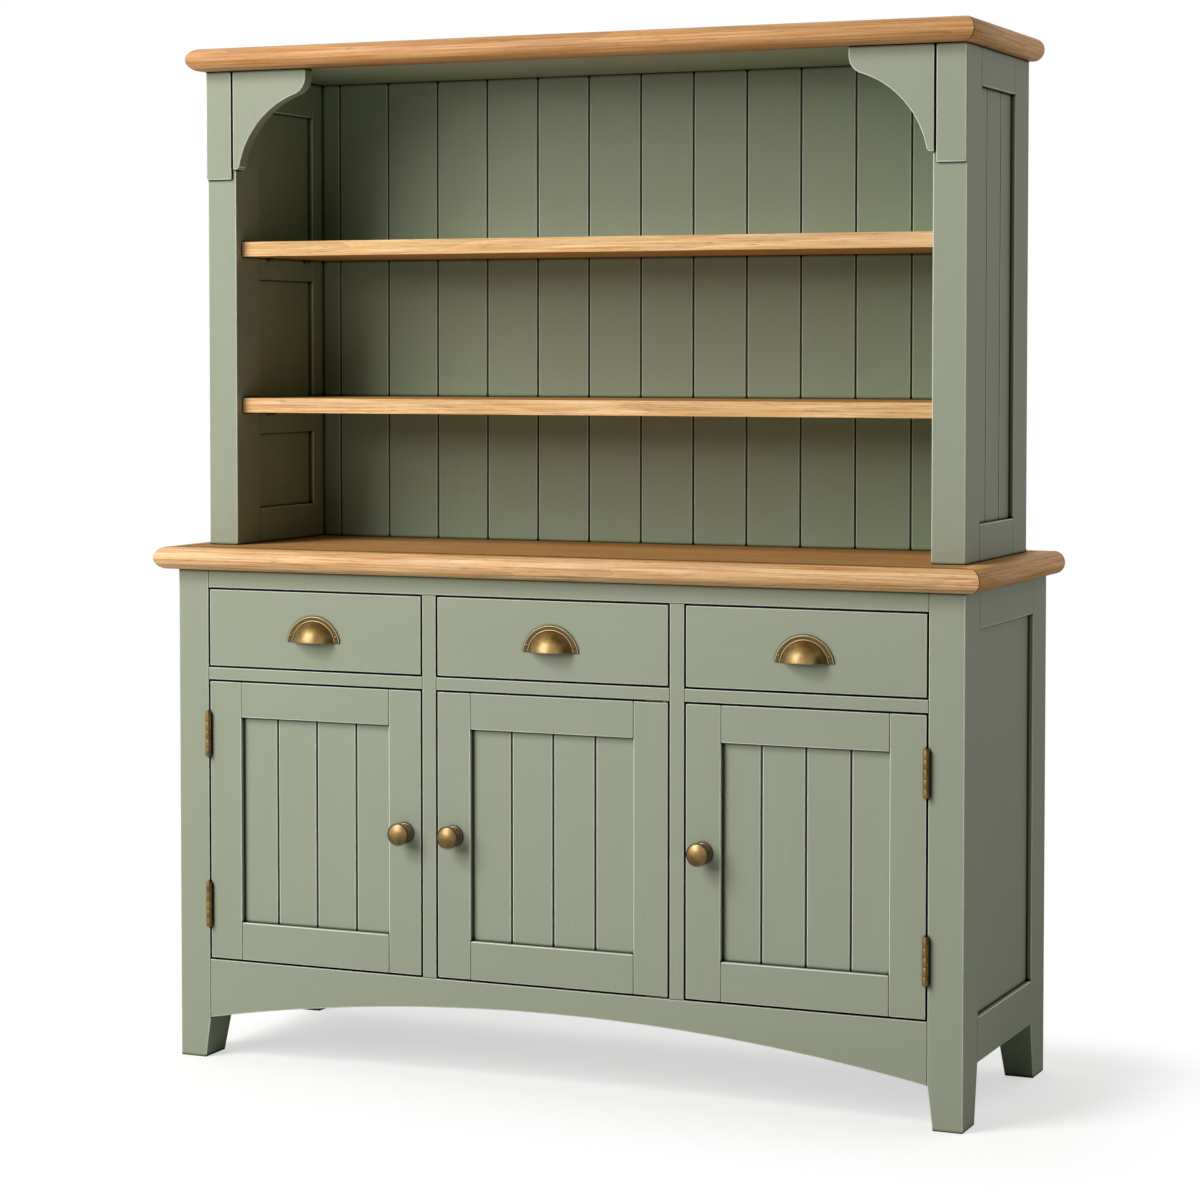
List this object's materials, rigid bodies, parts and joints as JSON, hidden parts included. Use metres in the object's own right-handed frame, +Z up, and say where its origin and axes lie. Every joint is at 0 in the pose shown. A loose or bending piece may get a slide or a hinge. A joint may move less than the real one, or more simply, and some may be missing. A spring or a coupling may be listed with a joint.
{
  "type": "china cabinet",
  "caption": "Painted hutch dresser with oak tops, an open shelved rack with scrolled brackets above a base of cup-pull drawers over boarded doors.",
  "frame": {"origin": "on the floor at the middle of the plan box", "axes": "+X to the viewer's right, +Y to the back, +Z up; the front faces -Y"},
  "size_m": [1.464, 0.504, 1.732],
  "materials": {
    "sage_paint": "satin sage-green paint on wood",
    "oak": "satin lacquered oak",
    "pine": "planed pine",
    "antique_brass": "satin antique brass",
    "zinc_steel": "zinc-plated",
    "catch_plastic": "matte brown"
  },
  "bodies": {
    "cabinet": {"base_back_panel": "sage_paint", "base_back_rails": "sage_paint", "base_side_panels": "sage_paint", "base_side_rails": "sage_paint", "cabinet_floor": "sage_paint", "cabinet_partitions": "sage_paint", "cornice_board": "oak", "cornice_lippings": "oak", "counter_board": "oak", "counter_lippings": "oak", "cupboard_shelves": "sage_paint", "door_catches": "catch_plastic", "drawer_kickers": "pine", "drawer_runners": "pine", "front_apron": "sage_paint", "front_leg_left": "sage_paint", "front_leg_right": "sage_paint", "front_mid_rails": "sage_paint", "front_muntins": "sage_paint", "front_top_rail": "sage_paint", "hinge_leg_leaves": "antique_brass", "hinge_pins": "antique_brass", "hutch_angles": "zinc_steel", "hutch_back_panel": "sage_paint", "hutch_brackets": "sage_paint", "hutch_ceiling": "sage_paint", "hutch_front_posts": "sage_paint", "hutch_head_blocks": "sage_paint", "hutch_inner_panels": "sage_paint", "hutch_outer_panels": "sage_paint", "hutch_rear_posts": "sage_paint", "hutch_shelf_lower": "oak", "hutch_shelf_pins": "antique_brass", "hutch_shelf_rails": "sage_paint", "hutch_shelf_upper": "oak", "hutch_side_rails": "sage_paint", "pivot_plates": "antique_brass", "rear_legs": "sage_paint", "shelf_battens": "pine"},
    "door_left": {"door_left_fittings": "antique_brass", "door_left_frame": "sage_paint", "door_left_knob": "antique_brass", "door_left_panel": "sage_paint"},
    "door_middle": {"door_middle_fittings": "antique_brass", "door_middle_frame": "sage_paint", "door_middle_knob": "antique_brass", "door_middle_panel": "sage_paint"},
    "door_right": {"door_right_fittings": "antique_brass", "door_right_frame": "sage_paint", "door_right_knob": "antique_brass", "door_right_panel": "sage_paint"},
    "drawer_left": {"drawer_left_box": "pine", "drawer_left_front": "sage_paint", "drawer_left_pull": "antique_brass"},
    "drawer_middle": {"drawer_middle_box": "pine", "drawer_middle_front": "sage_paint", "drawer_middle_pull": "antique_brass"},
    "drawer_right": {"drawer_right_box": "pine", "drawer_right_front": "sage_paint", "drawer_right_pull": "antique_brass"}
  },
  "joints": [
    {"name": "door_left_hinge", "type": "hinge", "parent": "cabinet", "child": "door_left", "pos_m": [-0.6405, -0.2253, 0.41225], "axis": [0, 0, -1], "range_deg": [0, 170]},
    {"name": "door_middle_hinge", "type": "hinge", "parent": "cabinet", "child": "door_middle", "pos_m": [0.2, -0.214, 0.41225], "axis": [0, 0, 1], "range_deg": [0, 105]},
    {"name": "door_right_hinge", "type": "hinge", "parent": "cabinet", "child": "door_right", "pos_m": [0.6405, -0.2253, 0.41225], "axis": [0, 0, 1], "range_deg": [0, 170]},
    {"name": "drawer_left_slide", "type": "slide", "parent": "cabinet", "child": "drawer_left", "axis": [0, -1, 0], "range_m": [0, 0.28]},
    {"name": "drawer_middle_slide", "type": "slide", "parent": "cabinet", "child": "drawer_middle", "axis": [0, -1, 0], "range_m": [0, 0.28]},
    {"name": "drawer_right_slide", "type": "slide", "parent": "cabinet", "child": "drawer_right", "axis": [0, -1, 0], "range_m": [0, 0.28]}
  ]
}
